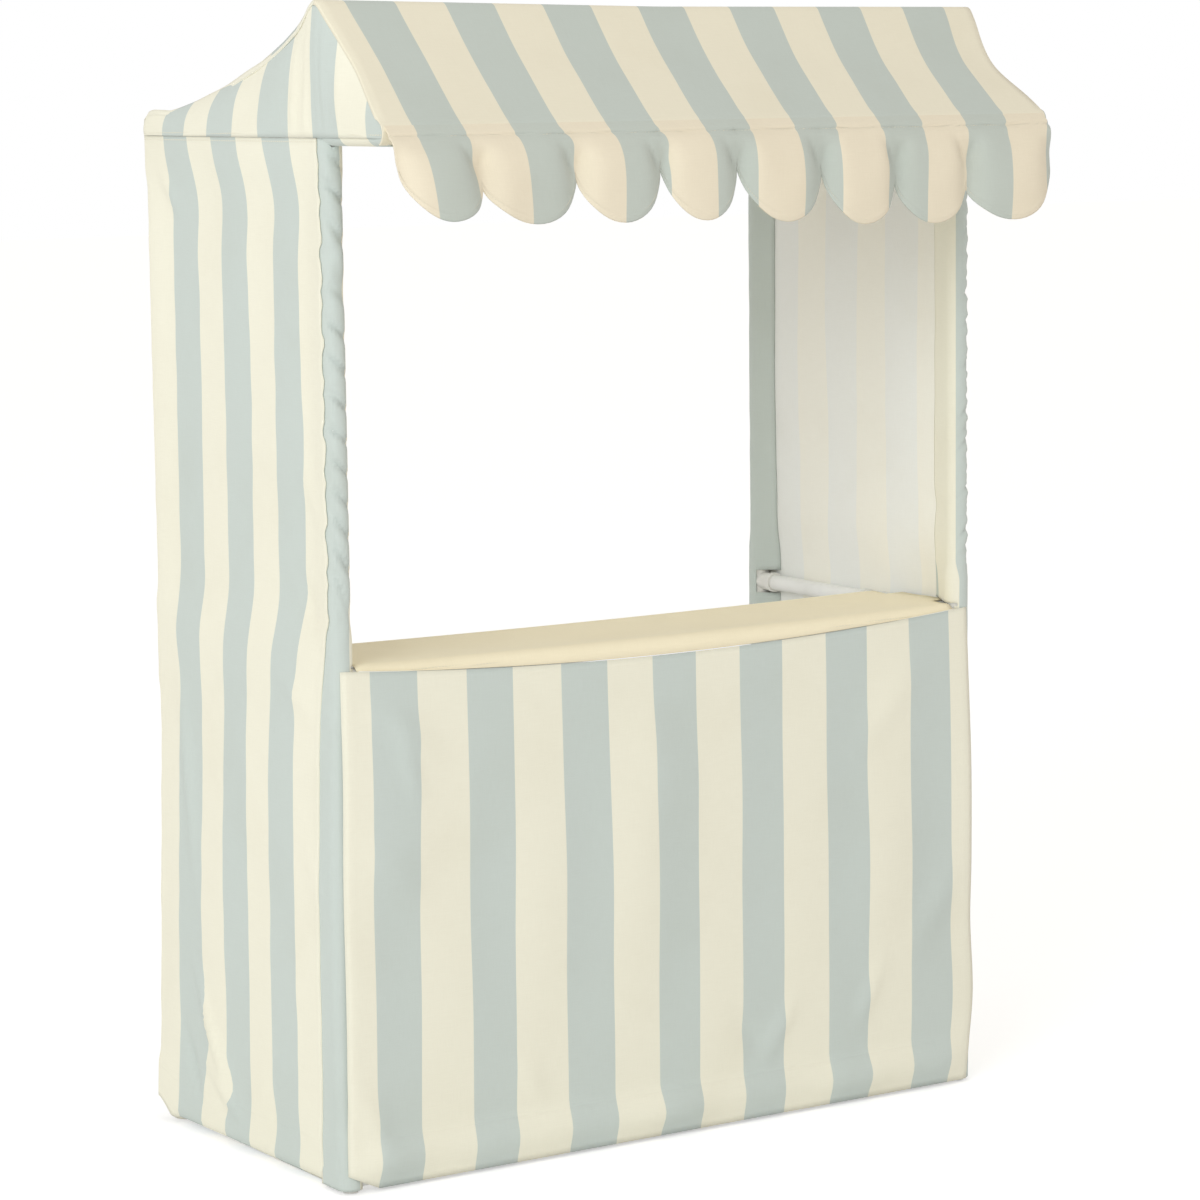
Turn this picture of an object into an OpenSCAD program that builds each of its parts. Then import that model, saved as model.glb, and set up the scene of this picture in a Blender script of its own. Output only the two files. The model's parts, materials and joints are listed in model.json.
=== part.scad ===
// Toy market stall: a knock-down frame of steel tubes and push-fit plastic connectors under a cloth
// cover, with a shelf counter, a pitched roof, an awning and a scalloped valance that swings freely.
// Millimetres. +Z is up, the serving front faces -Y and the origin is on the floor under the middle.

/* [Frame] */
// Distance between the left and right post axes
stall_w = 692; // [560:1:900]
// Distance between the front and rear post axes
stall_d = 332; // [280:1:500]
// Height of the base rail axes
base_h = 13; // [13:0.5:20]
// Height of the counter rail axes
counter_h = 468; // [380:1:600]
// Height of the eave rail axes
eave_h = 949; // [850:1:1200]
// Rise of the ridge bar above the eave rails
ridge_rise = 97; // [70:1:160]
// Forward reach of the awning bar from the front posts
awning_reach = 107; // [90:1:180]
// Depth of the counter shelf between its two rails
shelf_d = 120; // [90:1:170]

/* [Tubes] */
// Outer diameter of every tube
tube_d = 16; // [12:0.5:18]
// Wall thickness of every tube
tube_wall = 1; // [0.6:0.1:2]

/* [Connectors] */
// Wall thickness of a socket round its tube
socket_wall = 1.35; // [1:0.05:2]
// Distance from a connector's centre to the mouth of each socket
socket_reach = 28; // [24:1:36]
// Length of tube held in a socket
socket_depth = 16; // [10:1:16]
// Height by which the collar at a socket's mouth stands proud
collar_lip = 0.6; // [0.3:0.1:1]
// Length of the collar at a socket's mouth
collar_l = 5; // [3:0.5:8]
// Radius of the flat foot under each base corner
foot_r = 7; // [5:0.5:8]

/* [Cover] */
// Thickness of the cover cloth
cloth_t = 1; // [0.6:0.1:1.2]
// Height of the stitch line that closes the pockets round the base rails
pocket_h = 45; // [40:1:70]
// Depth of the flap that closes each post sleeve
sleeve_flap = 24; // [22:1:32]
// Depth of the soft folds in the side walls
wall_fold = 4; // [0:0.5:8]
// Distance by which the side walls draw in between the rails, towards the plane of the post axes
wall_draw = 8; // [0:0.5:10]
// Depth of the upright folds in the gables
gable_fold = 2; // [0:0.5:4]
// Sag of the awning between its bar and the ridge
awning_sag = 6; // [0:1:12]
// Sag of the rear roof between the ridge and the back rail
roof_sag = 13; // [0:1:28]
// Sag of the shelf cloth between its rails
shelf_sag = 6; // [0:1:12]
// Height of the counter's front seam above the rail axis, at the posts
seam_rise = 5; // [0:0.5:6]
// Drop of the counter's front seam at mid span
seam_sag = 15; // [0:1:25]
// Distance by which the front panel laps past the post axes
panel_lap = 4; // [0:0.5:6]
// Depth of the soft folds in the front panel
panel_fold = 5; // [0:0.5:10]

/* [Valance] */
// Number of scallops
scallops = 8; // [4:1:12]
// Depth of the valance from its seam to the notches
valance_band = 43; // [25:1:60]
// Depth of the round of each scallop below the notches
scallop_drop = 37; // [20:1:50]
// Forward flare of the valance at its lower edge
valance_flare = 14; // [0:0.5:20]
// Further flare of the valance at its left end
end_flare = 12; // [0:0.5:20]

/* [Hidden] */
$fn = 48;

// Running clearances
tube_gap = 0.05;
end_gap = 0.3;
cloth_gap = 0.3;

// Cuts run past the faces that they open by this much
overrun = 1;

// Connector sizes: sockets on different axes differ a little in girth, as draft on the moulding leaves them
bore_r = tube_d / 2 + tube_gap;
body_r = bore_r + socket_wall;
draft_step = 0.2;
collar_r = body_r + collar_lip;
hub_lip = 0.4;
hub_r = body_r + hub_lip;
// Tilt of the hub ball's axis: along the counter, or upright inside the post sockets
lying_tilt = 90;
upright_tilt = 0;

// Frame axes
post_x = stall_w / 2;
ridge_h = eave_h + ridge_rise;

// Cloth surfaces are laid out on their middle, this far from the tube axes that they wrap
sleeve_r = collar_r + cloth_gap + cloth_t / 2;
sleeve_sides = 8;
sleeve_step = 360 / sleeve_sides;
sleeve_half = sleeve_step / 2;
sleeve_cells = 5;
cover_x = post_x + sleeve_r + cloth_t / 2;
pocket_inset = socket_reach + collar_l;
stitch_r = sleeve_r - cloth_t - cloth_gap;

// Heights at which the side walls open for the connectors, and their upper edge
notch_h = collar_r + cloth_t + 2 * cloth_gap;
gable_low = eave_h - sleeve_r * tan(sleeve_half);
wall_top = gable_low - cloth_gap;
eave_notch_h = eave_h - collar_r - cloth_t;

// Counts of cells along and up each cloth
wall_cells = 9;
wall_low_cells = 4;
wall_high_cells = 5;
gable_rows = 3;
slope_cells = 5;
rear_cells = 6;
wrap_cells = 6;
roof_cells = 10;
shelf_cells = 4;
counter_cells = 12;
panel_cells = 14;
panel_rows = 5;
scallop_cells = 8;
valance_rows = 4;

// Folds: waves across a cloth, and how far they lean over its height
wall_waves = 2;
wall_lean = 1.5;
panel_waves = 3;
panel_lean = 0.5;
gable_waves = 5;
valance_waves = 4.5;
ripple_share = 0.5;
end_flare_power = 3;

tube_colour = "white";
connector_colour = "whitesmoke";
stripe_colour = [0.75, 0.79, 0.76];
cream_colour = [0.93, 0.90, 0.81];

// Points and lists

function lerp(a, b, s) = a + (b - a) * s;
function unit(v) = v / norm(v);
function slice(list, first, last) = [for (k = [first:last]) list[k]];
function reversed(list) = [for (k = [len(list) - 1:-1:0]) list[k]];
function spread(a, b, n) = [for (k = [0:n]) lerp(a, b, k / n)];

// A polygon round a circle of radius r, its sides touching the circle, from angle a0 to a1 in n sides
function wrap(c, r, a0, a1, n) =
    let (corner_r = r / cos((a1 - a0) / n / 2))
    [for (a = spread(a0, a1, n)) c + corner_r * [cos(a), sin(a)]];

// The inner points of a run from p to q that sags by depth along dir
function sagging(p, q, dir, depth, n) =
    [for (k = [1:n - 1]) lerp(p, q, k / n) + dir * depth * sin(180 * k / n)];

// A path moved inward by d, where inward is to the right of its direction
function inset(path, d) = [
    for (k = [0:len(path) - 1])
        let (run = unit(path[min(k + 1, len(path) - 1)] - path[max(k - 1, 0)]))
        path[k] + d * [run.y, -run.x]
];

// Cloth sheets: a grid of points on the middle of the cloth, thickened along its normals

function sheet_normal(p, j, i) =
    let (
        along = p[j][min(i + 1, len(p[j]) - 1)] - p[j][max(i - 1, 0)],
        up = p[min(j + 1, len(p) - 1)][i] - p[max(j - 1, 0)][i]
    )
    unit(cross(along, up));

function sheet_side(p, offset) =
    [for (j = [0:len(p) - 1]) for (i = [0:len(p[j]) - 1]) p[j][i] + offset * sheet_normal(p, j, i)];

function split(a, b, c, d) = [[a, b, c], [a, c, d]];

// Faces of one cell: both sides, and an edge wherever the neighbouring cell is left out
function cell_faces(j, i, rows, cols, keep) =
    let (
        far = (rows + 1) * (cols + 1),
        a = j * (cols + 1) + i,
        b = a + 1,
        d = a + cols + 1,
        c = d + 1
    )
    concat(
        split(a + far, d + far, c + far, b + far),
        split(a, b, c, d),
        j > 0 && keep(j - 1, i) ? [] : split(a + far, b + far, b, a),
        j < rows - 1 && keep(j + 1, i) ? [] : split(c + far, d + far, d, c),
        i > 0 && keep(j, i - 1) ? [] : split(d + far, a + far, a, d),
        i < cols - 1 && keep(j, i + 1) ? [] : split(b + far, c + far, c, b)
    );

whole = function (j, i) true;

module sheet(p, keep = whole) {
    rows = len(p) - 1;
    cols = len(p[0]) - 1;
    cells = [for (j = [0:rows - 1]) for (i = [0:cols - 1]) if (keep(j, i)) [j, i]];
    polyhedron(
        points = concat(sheet_side(p, -cloth_t / 2), sheet_side(p, cloth_t / 2)),
        faces = [for (c = cells) each cell_faces(c[0], c[1], rows, cols, keep)]
    );
}

// Side walls: plan of the right wall, x from the post axis, with a sleeve round each post

function wall_sleeve() =
    concat(
        [[stitch_r, sleeve_flap]],
        wrap([0, 0], sleeve_r, 90 + sleeve_half, 360 - sleeve_half, sleeve_cells)
    );

wall_plan = concat(
    wall_sleeve(),
    [for (y = spread(pocket_inset, stall_d - pocket_inset, wall_cells)) [sleeve_r, y]],
    reversed([for (p = wall_sleeve()) [p.x, stall_d - p.y]])
);

// Section of the pocket round a base rail, x from the rail axis, ending where the wall starts upward
pocket_cells = 4;
wall_pocket = concat(
    [[stitch_r, pocket_h]],
    wrap([0, base_h], sleeve_r, 180 - sleeve_half, 360 - sleeve_half, pocket_cells)
);
pocket_rows = len(wall_pocket) - 1;

wall_heights = concat(
    spread(base_h + notch_h, counter_h - notch_h, wall_low_cells),
    spread(counter_h + notch_h, eave_notch_h, wall_high_cells),
    [wall_top]
);

// Share of the way up the bay, below or above the counter, that a height lies in
function bay_share(z) =
    let (
        low = z < counter_h ? base_h + notch_h : counter_h + notch_h,
        high = z < counter_h ? counter_h - notch_h : eave_notch_h
    )
    min(max((z - low) / (high - low), 0), 1);

// Offset of the wall's middle from the plane that touches the sleeves: drawn in, with folds that stand out
function wall_offset(y, z) =
    let (
        s = min(max((y - pocket_inset) / (stall_d - 2 * pocket_inset), 0), 1),
        slack = sin(180 * bay_share(z))
    )
    sqrt(sin(180 * s)) * slack
    * (wall_fold * (1 + sin(360 * (wall_waves * s + wall_lean * z / eave_h))) / 2 - wall_draw);

function wall_grid() = concat(
    [for (q = slice(wall_pocket, 0, pocket_rows - 1)) [for (p = wall_plan) [post_x + q.x, p.y, q.y]]],
    [
        for (z = concat([wall_pocket[pocket_rows].y], wall_heights))
            [for (p = wall_plan) [post_x + p.x + wall_offset(p.y, z), p.y, z]]
    ]
);

// Rows of cells that open for connectors: just above the pocket, at the counter and under the eave
wall_base_row = pocket_rows;
wall_counter_row = wall_base_row + 1 + wall_low_cells;
wall_eave_row = wall_counter_row + 1 + wall_high_cells;
wall_last = len(wall_plan) - 2;

// Cells are counted from the nearer sleeve flap: the sleeve's inner side comes first, the wall last
sleeve_inner_cells = 4;
sleeve_all_cells = sleeve_cells + 1;
wall_keep = function (j, i)
    let (
        from_flap = min(i, wall_last - i),
        front = i < wall_last / 2
    )
    j < pocket_rows ? from_flap > sleeve_all_cells
    : j == wall_base_row || j == wall_counter_row ? from_flap >= sleeve_inner_cells
    : j == wall_eave_row ? from_flap >= (front ? sleeve_all_cells : sleeve_inner_cells)
    : true;

module wall_cloth() {
    stand()
        sheet(wall_grid(), wall_keep);
}

// Roof: its section runs from under the awning bar, over the bar and the ridge, to under the back rail

bar_axis = [-awning_reach, eave_h];
ridge_axis = [0, ridge_h];
back_axis = [stall_d, eave_h];
front_normal = 90 + atan2(ridge_rise, awning_reach);
rear_normal = 90 - atan2(ridge_rise, stall_d);
ridge_seam = asin(cloth_gap / sleeve_r);
ridge_cells = 2;
hem_angle = -160;

bar_wrap = wrap(bar_axis, sleeve_r, 360, front_normal, wrap_cells);
ridge_front = wrap(ridge_axis, sleeve_r, front_normal, 90 + ridge_seam, ridge_cells);
ridge_rear = wrap(ridge_axis, sleeve_r, 90 - ridge_seam, rear_normal, ridge_cells);
back_wrap = wrap(back_axis, sleeve_r, rear_normal, hem_angle, wrap_cells);

awning_path = concat(
    bar_wrap,
    sagging(bar_wrap[wrap_cells], ridge_front[0], -[cos(front_normal), sin(front_normal)],
        awning_sag, slope_cells),
    ridge_front
);
rear_path = concat(
    ridge_rear,
    sagging(ridge_rear[ridge_cells], back_wrap[0], -[cos(rear_normal), sin(rear_normal)],
        roof_sag, rear_cells),
    back_wrap
);

// Columns across the roof: the hems round the bar and the back rail stop short of the end connectors
roof_columns = concat(
    [-cover_x],
    spread(-(post_x - pocket_inset), post_x - pocket_inset, roof_cells),
    [cover_x]
);

function roof_grid(path) = [for (q = path) [for (x = roof_columns) [x, q.x, q.y]]];

// Cells of the bar's hem that lie under and behind the bar, and of the back hem above the rail's middle
bar_hem_cells = 4;
back_top_cells = 2;
back_hem_row = ridge_cells + rear_cells + back_top_cells;
inner_column = function (i) i > 0 && i < len(roof_columns) - 2;
awning_keep = function (j, i) j >= bar_hem_cells || inner_column(i);
rear_keep = function (j, i) j < back_hem_row || inner_column(i);

// Gables: upright sheets under the roof's edges, hemmed round the awning arms

gable_edge = inset(
    concat(
        slice(awning_path, wrap_cells - 1, len(awning_path) - 1),
        slice(rear_path, 1, back_hem_row)
    ),
    cloth_t / 2 + cloth_gap
);
gable_front_y = bar_axis.x - stitch_r + cloth_gap;
gable_rear_y = back_axis.x + stitch_r - cloth_gap;
gable_top = [for (p = gable_edge) [min(max(p.x, gable_front_y), gable_rear_y), p.y]];
arm_hem = wrap([0, eave_h], sleeve_r, 180 - sleeve_half, 360 - sleeve_half, pocket_cells);

function gable_bulge(y, s) =
    gable_fold * sin(180 * s) * (1 + sin(360 * gable_waves * y / stall_d)) / 2;

function gable_grid() = concat(
    [for (q = slice(arm_hem, 0, pocket_cells - 1)) [for (p = gable_top) [post_x + q.x, p.x, q.y]]],
    [
        for (s = spread(0, 1, gable_rows))
            [for (p = gable_top) [post_x + sleeve_r + gable_bulge(p.x, s), p.x, lerp(gable_low, p.y, s)]]
    ]
);

// The arm's hem lies between the awning elbow and the front post
arm_hem_first = 2;
arm_hem_last = slope_cells - 1;
gable_keep = function (j, i) j >= pocket_cells || (i >= arm_hem_first && i <= arm_hem_last);

module gable_cloth() {
    stand()
        sheet(gable_grid(), gable_keep);
}

// Counter: its section runs from the front seam, over the front rail and the shelf, round the shelf rail

panel_y = -(sleeve_r + cloth_t + cloth_gap);
counter_front_cells = 3;
counter_end_x = post_x - sleeve_r - cloth_t / 2 - 2 * cloth_gap;
wing_x = post_x + tube_d / 2;
wing_inset = sleeve_r + tube_d / 2;

counter_columns = concat(
    [-wing_x, -counter_end_x],
    spread(-(post_x - pocket_inset), post_x - pocket_inset, counter_cells),
    [counter_end_x, wing_x]
);

// The cloth clears the sockets at both ends of its rails and settles on the bare tubes between them
function end_share(x) = min(pow(x / (post_x - pocket_inset), 2), 1);
function counter_r(x) = lerp(tube_d / 2 + cloth_gap + cloth_t / 2, sleeve_r, end_share(x));
function seam_z(x) = counter_h + seam_rise - seam_sag * max(1 - pow(x / post_x, 2), 0);

function counter_path(x) = concat(
    [[panel_y, seam_z(x) + cloth_gap / 2]],
    slice(wrap([0, counter_h], counter_r(x), 180, 90, counter_front_cells), 1, counter_front_cells),
    [
        for (y = spread(wing_inset, shelf_d - wing_inset, shelf_cells))
            [y, counter_h + counter_r(x) - shelf_sag * sin(180 * y / shelf_d) * (1 - end_share(x))]
    ],
    wrap([shelf_d, counter_h], counter_r(x), 90, hem_angle, wrap_cells)
);

function counter_grid() =
    let (paths = [for (x = counter_columns) counter_path(x)])
    [
        for (j = [0:len(paths[0]) - 1])
            [for (i = [0:len(paths) - 1]) [counter_columns[i], paths[i][j].x, paths[i][j].y]]
    ];

// Past the ends of the rails only the shelf itself goes on, over the side rails
shelf_row = counter_front_cells + 1;
counter_keep = function (j, i)
    (i > 0 && i < len(counter_columns) - 2) || (j >= shelf_row && j < shelf_row + shelf_cells);

// Front panel: hangs from the counter seam in front of the posts, with a pocket round the base rail

panel_pocket = concat(
    [[-(panel_y + cloth_t + cloth_gap), pocket_h]],
    [
        for (q = wrap([0, 0], sleeve_r, 180 - sleeve_half, 360 - sleeve_half, pocket_cells))
            [q.x * -panel_y / sleeve_r, base_h + q.y]
    ]
);
panel_x = post_x + panel_lap;
panel_columns = concat(
    [-panel_x],
    spread(-(post_x - pocket_inset), post_x - pocket_inset, panel_cells),
    [panel_x]
);

function panel_bulge(x, s) =
    panel_fold * sin(180 * s) * max(1 - pow(x / post_x, 2), 0)
    * (1 + sin(360 * (panel_waves * x / stall_w + panel_lean * s))) / 2;

function panel_z(x, s) = lerp(pocket_h, seam_z(x) - cloth_gap / 2, s);

function panel_grid() = concat(
    [for (q = panel_pocket) [for (x = panel_columns) [x, -q.x, q.y]]],
    [
        for (s = spread(0, 1, panel_rows))
            [for (x = panel_columns) [x, panel_y - panel_bulge(x, s), panel_z(x, s)]]
    ]
);

panel_keep = function (j, i) j >= len(panel_pocket) - 1 || (i > 0 && i < len(panel_columns) - 2);

// Valance: hangs from the seam in front of the awning bar, and swings about that seam

// The seam lies on the lower front corner of the hem round the bar
seam_corner = bar_wrap[bar_hem_cells];
seam_axis = seam_corner + cloth_t / 2 * unit(seam_corner - bar_axis);
valance_y = seam_axis.x - cloth_gap - cloth_t / 2;
valance_seam_z = seam_axis.y - cloth_gap;
scallop_w = 2 * cover_x / scallops;
scallop_power_share = 0.6;

// Columns crowd towards the notches, where the edge is steepest
scallop_steps = [for (k = [0:scallop_cells]) -cos(180 * k / scallop_cells)];
valance_columns = concat(
    [[-cover_x, -1]],
    [
        for (n = [0:scallops - 1])
            for (k = [1:scallop_cells])
                [-cover_x + scallop_w * (n + (1 + scallop_steps[k]) / 2), scallop_steps[k]]
    ]
);

function scallop_depth(u) = valance_band + scallop_drop * pow(max(1 - u * u, 0), scallop_power_share);
function flare_at(x, s) =
    let (
        span_share = (x + cover_x) / (2 * cover_x),
        ripple = (1 - sin(360 * valance_waves * span_share - 90)) / 2
    )
    s * (valance_flare * lerp(1, ripple, ripple_share)
         + end_flare * pow(max(-x / cover_x, 0), end_flare_power));

function valance_grid() = [
    for (s = spread(1, 0, valance_rows))
        [
            for (c = valance_columns)
                [c[0], valance_y - flare_at(c[0], s), valance_seam_z - s * scallop_depth(c[1])]
        ]
];

// The origin lies midway between the valance's foremost edge and the backs of the rear sleeves
front_y = min([for (p = sheet_side(valance_grid(), cloth_t / 2)) p.y]);
rear_y = max([for (q = inset(back_wrap, -cloth_t / 2)) q.x]);
mid_y = (front_y + rear_y) / 2;

// Shared shapes

module stand() {
    translate([0, -mid_y, 0])
        children();
}

module along(dir) {
    rotate([0, acos(dir.z), atan2(dir.y, dir.x)])
        children();
}

// A tube from socket to socket, given the centres of the two connectors that hold it
module tube(from, to) {
    run = to - from;
    seat = socket_reach - socket_depth + end_gap;
    length = norm(run) - 2 * seat;
    color(tube_colour)
        stand()
            translate(from + unit(run) * seat)
                along(unit(run))
                    difference() {
                        cylinder(h = length, r = tube_d / 2);
                        translate([0, 0, -overrun])
                            cylinder(h = length + 2 * overrun, r = tube_d / 2 - tube_wall);
                    }
}

function socket_r(dir) = body_r - draft_step * (2 * abs(dir.y) + abs(dir.x));

module socket(dir) {
    along(dir) {
        cylinder(h = socket_reach, r = socket_r(dir));
        translate([0, 0, socket_reach - collar_l])
            cylinder(h = collar_l, r = collar_r);
    }
}

module socket_bore(dir) {
    along(dir)
        translate([0, 0, socket_reach - socket_depth])
            cylinder(h = socket_depth + overrun, r = bore_r);
}

// A moulded connector with a socket in each of the directions; children are fused to its hub
module connector(centre, dirs, hub_tilt = lying_tilt) {
    color(connector_colour)
        stand()
            translate(centre)
                difference() {
                    union() {
                        for (dir = dirs)
                            socket(dir);
                        rotate([0, hub_tilt, 0])
                            sphere(r = hub_r);
                        children();
                    }
                    for (dir = dirs)
                        socket_bore(dir);
                }
}

module foot() {
    translate([0, 0, -base_h])
        cylinder(h = base_h, r = foot_r);
}

up = [0, 0, 1];
down = [0, 0, -1];
forward = [0, -1, 0];
rearward = [0, 1, 0];

// Connector centres; side is -1 on the left and 1 on the right
function inward(side) = [-side, 0, 0];
function base_point(side, y) = [side * post_x, y, base_h];
function counter_point(side, y) = [side * post_x, y, counter_h];
function eave_point(side, y) = [side * post_x, y, eave_h];
function ridge_point(side) = [side * post_x, 0, ridge_h];

// Sub-parts

module base_corner(side, y, rail) {
    connector(base_point(side, y), [up, inward(side), rail])
        foot();
}

module base_corner_front_left() { base_corner(-1, 0, rearward); }
module base_corner_front_right() { base_corner(1, 0, rearward); }
module base_corner_back_left() { base_corner(-1, stall_d, forward); }
module base_corner_back_right() { base_corner(1, stall_d, forward); }

module base_rail_front() { tube(base_point(-1, 0), base_point(1, 0)); }
module base_rail_back() { tube(base_point(-1, stall_d), base_point(1, stall_d)); }
module base_rail_left() { tube(base_point(-1, 0), base_point(-1, stall_d)); }
module base_rail_right() { tube(base_point(1, 0), base_point(1, stall_d)); }

module lower_post_front_left() { tube(base_point(-1, 0), counter_point(-1, 0)); }
module lower_post_front_right() { tube(base_point(1, 0), counter_point(1, 0)); }
module lower_post_back_left() { tube(base_point(-1, stall_d), counter_point(-1, stall_d)); }
module lower_post_back_right() { tube(base_point(1, stall_d), counter_point(1, stall_d)); }

module counter_cross(side) { connector(counter_point(side, 0), [up, down, inward(side), rearward]); }
module counter_cross_left() { counter_cross(-1); }
module counter_cross_right() { counter_cross(1); }

module counter_tee(side) { connector(counter_point(side, stall_d), [up, down, forward], upright_tilt); }
module counter_tee_left() { counter_tee(-1); }
module counter_tee_right() { counter_tee(1); }

module shelf_tee(side) { connector(counter_point(side, shelf_d), [forward, rearward, inward(side)]); }
module shelf_tee_left() { shelf_tee(-1); }
module shelf_tee_right() { shelf_tee(1); }

module counter_rail_front() { tube(counter_point(-1, 0), counter_point(1, 0)); }
module shelf_rail_rear() { tube(counter_point(-1, shelf_d), counter_point(1, shelf_d)); }
module side_rail_front_left() { tube(counter_point(-1, 0), counter_point(-1, shelf_d)); }
module side_rail_front_right() { tube(counter_point(1, 0), counter_point(1, shelf_d)); }
module side_rail_back_left() { tube(counter_point(-1, shelf_d), counter_point(-1, stall_d)); }
module side_rail_back_right() { tube(counter_point(1, shelf_d), counter_point(1, stall_d)); }

module upper_post_front_left() { tube(counter_point(-1, 0), eave_point(-1, 0)); }
module upper_post_front_right() { tube(counter_point(1, 0), eave_point(1, 0)); }
module upper_post_back_left() { tube(counter_point(-1, stall_d), eave_point(-1, stall_d)); }
module upper_post_back_right() { tube(counter_point(1, stall_d), eave_point(1, stall_d)); }

module eave_cross(side) { connector(eave_point(side, 0), [up, down, rearward, forward]); }
module eave_cross_left() { eave_cross(-1); }
module eave_cross_right() { eave_cross(1); }

module eave_corner(side) { connector(eave_point(side, stall_d), [down, forward, inward(side)]); }
module eave_corner_left() { eave_corner(-1); }
module eave_corner_right() { eave_corner(1); }

module eave_rail_left() { tube(eave_point(-1, 0), eave_point(-1, stall_d)); }
module eave_rail_right() { tube(eave_point(1, 0), eave_point(1, stall_d)); }
module eave_rail_back() { tube(eave_point(-1, stall_d), eave_point(1, stall_d)); }

module awning_arm_left() { tube(eave_point(-1, -awning_reach), eave_point(-1, 0)); }
module awning_arm_right() { tube(eave_point(1, -awning_reach), eave_point(1, 0)); }
module awning_elbow(side) { connector(eave_point(side, -awning_reach), [rearward, inward(side)]); }
module awning_elbow_left() { awning_elbow(-1); }
module awning_elbow_right() { awning_elbow(1); }
module awning_bar() { tube(eave_point(-1, -awning_reach), eave_point(1, -awning_reach)); }

module ridge_post_left() { tube(eave_point(-1, 0), ridge_point(-1)); }
module ridge_post_right() { tube(eave_point(1, 0), ridge_point(1)); }
module ridge_elbow(side) { connector(ridge_point(side), [down, inward(side)]); }
module ridge_elbow_left() { ridge_elbow(-1); }
module ridge_elbow_right() { ridge_elbow(1); }
module ridge_bar() { tube(ridge_point(-1), ridge_point(1)); }

module left_wall() { color(stripe_colour) mirror([1, 0, 0]) wall_cloth(); }
module right_wall() { color(stripe_colour) wall_cloth(); }
module left_gable() { color(stripe_colour) mirror([1, 0, 0]) gable_cloth(); }
module right_gable() { color(stripe_colour) gable_cloth(); }
module awning() { color(stripe_colour) stand() sheet(roof_grid(awning_path), awning_keep); }
module rear_roof() { color(stripe_colour) stand() sheet(roof_grid(rear_path), rear_keep); }
module counter_cloth() { color(cream_colour) stand() sheet(counter_grid(), counter_keep); }
module front_panel() { color(stripe_colour) stand() sheet(panel_grid(), panel_keep); }
module valance() { color(stripe_colour) stand() sheet(valance_grid()); }

base_corner_front_left();
base_corner_front_right();
base_corner_back_left();
base_corner_back_right();
base_rail_front();
base_rail_back();
base_rail_left();
base_rail_right();
lower_post_front_left();
lower_post_front_right();
lower_post_back_left();
lower_post_back_right();
counter_cross_left();
counter_cross_right();
counter_tee_left();
counter_tee_right();
shelf_tee_left();
shelf_tee_right();
counter_rail_front();
shelf_rail_rear();
side_rail_front_left();
side_rail_front_right();
side_rail_back_left();
side_rail_back_right();
upper_post_front_left();
upper_post_front_right();
upper_post_back_left();
upper_post_back_right();
eave_cross_left();
eave_cross_right();
eave_corner_left();
eave_corner_right();
eave_rail_left();
eave_rail_right();
eave_rail_back();
awning_arm_left();
awning_arm_right();
awning_elbow_left();
awning_elbow_right();
awning_bar();
ridge_post_left();
ridge_post_right();
ridge_elbow_left();
ridge_elbow_right();
ridge_bar();
left_wall();
right_wall();
left_gable();
right_gable();
awning();
rear_roof();
counter_cloth();
front_panel();
valance();
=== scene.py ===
"""Toy market stall: a striped cotton cover, sewn from panels, over a white push-fit tube frame."""

import json
import math

import bpy
import numpy as np
from mathutils import Matrix, Vector


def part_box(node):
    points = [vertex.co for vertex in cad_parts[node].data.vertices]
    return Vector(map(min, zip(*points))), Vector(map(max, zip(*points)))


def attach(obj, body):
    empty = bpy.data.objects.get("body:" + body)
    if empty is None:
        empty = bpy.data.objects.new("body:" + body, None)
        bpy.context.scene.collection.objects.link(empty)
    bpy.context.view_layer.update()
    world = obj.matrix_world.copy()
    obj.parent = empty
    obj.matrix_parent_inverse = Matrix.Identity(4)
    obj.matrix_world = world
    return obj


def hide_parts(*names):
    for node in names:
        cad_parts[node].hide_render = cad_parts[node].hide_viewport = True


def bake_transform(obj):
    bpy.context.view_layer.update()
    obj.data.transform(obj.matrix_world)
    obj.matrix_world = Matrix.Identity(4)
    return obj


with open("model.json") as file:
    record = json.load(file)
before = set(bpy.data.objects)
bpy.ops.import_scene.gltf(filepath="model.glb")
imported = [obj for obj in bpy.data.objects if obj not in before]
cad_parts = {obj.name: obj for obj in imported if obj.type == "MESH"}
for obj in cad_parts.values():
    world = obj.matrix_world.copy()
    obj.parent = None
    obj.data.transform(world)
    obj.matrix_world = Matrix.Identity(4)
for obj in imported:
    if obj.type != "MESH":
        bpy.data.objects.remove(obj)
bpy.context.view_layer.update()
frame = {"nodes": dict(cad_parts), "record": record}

# Places are in millimetres: x from the middle, y back from the front posts, z up from the floor
MM = 0.001


def centre(node):
    low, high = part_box(node)
    return (Vector(low) + Vector(high)) / 2 / MM


POST = centre("upper_post_front_right")
POST_X = POST.x
FRONT_Y = POST.y
STALL_D = centre("upper_post_back_right").y - FRONT_Y
BASE_Z = centre("base_rail_front").z
COUNTER_Z = centre("counter_rail_front").z
EAVE_Z = centre("awning_bar").z
RIDGE_Z = centre("ridge_bar").z
REACH = FRONT_Y - centre("awning_bar").y
SHELF_D = centre("shelf_rail_rear").y - FRONT_Y

# Cloth: sizes of the weave and the mesh, then its distance from a tube's axis and where it ends
STRIPE = 50
CLOTH_T = 0.9
VALANCE_T = 1.8
GRID = 6
SLEEVE_R = 10.9
HUG_R = 9.2
SOCKET_REACH = 33
COVER_X = POST_X + SLEEVE_R + 0.5
POCKET_H = 45
WALL_FOOT = 3
WALL_TOP = EAVE_Z - 4.8
SLEEVE_TOP = EAVE_Z - 11
NOTCH = 12
PANEL_Y = -12.3
PANEL_X = POST_X + 4
HEM_STITCH = 3
FAR = 99


# Small functions on arrays

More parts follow.
